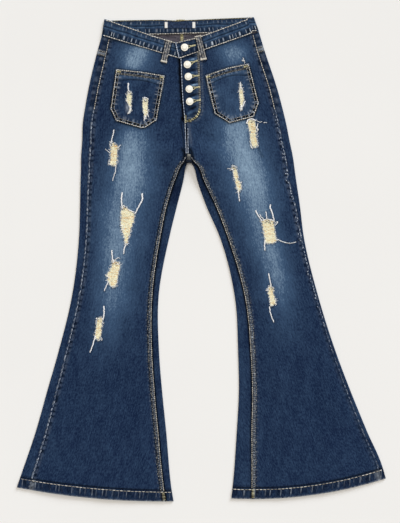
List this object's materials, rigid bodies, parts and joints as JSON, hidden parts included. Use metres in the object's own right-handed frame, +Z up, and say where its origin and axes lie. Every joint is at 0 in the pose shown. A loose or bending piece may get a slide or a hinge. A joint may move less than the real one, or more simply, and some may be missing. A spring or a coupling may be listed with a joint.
{
  "type": "ripped flared jeans laid flat",
  "caption": "High-waisted flared denim trousers with patch pockets, a button fly and ripped fronts, laid flat with the front up.",
  "frame": {"origin": "middle of the underside of the laid-out garment, on the surface it lies on", "axes": "+X towards the wearer's left side, +Y towards the waist along the garment's length, +Z up out of the front of the garment"},
  "size_m": [0.7975, 1.0527, 0.0103],
  "materials": {
    "denim": "indigo stretch twill, faded and abraded at the thighs and seams",
    "denim_reverse": "wrong side of the twill, greyish, undyed weft showing",
    "buttons": "cream enamelled shank buttons",
    "label": "plain dark woven tape",
    "thread": "tan topstitching thread",
    "weft": "bare cream weft yarns of the rips"
  },
  "bodies": {
    "root": {"front_right": "denim", "front_left": "denim", "back_right": "denim", "back_left": "denim", "yoke_right": "denim_reverse", "yoke_left": "denim_reverse", "waistband": "denim", "fly_underlap": "denim", "pocket_right": "denim", "pocket_left": "denim", "loop_front_right": "denim", "loop_front_left": "denim", "loop_back_right": "denim", "loop_back_centre": "denim", "loop_back_left": "denim", "waist_label": "label", "button_1": "buttons", "button_2": "buttons", "button_3": "buttons", "button_4": "buttons", "button_5": "buttons"}
  },
  "joints": []
}
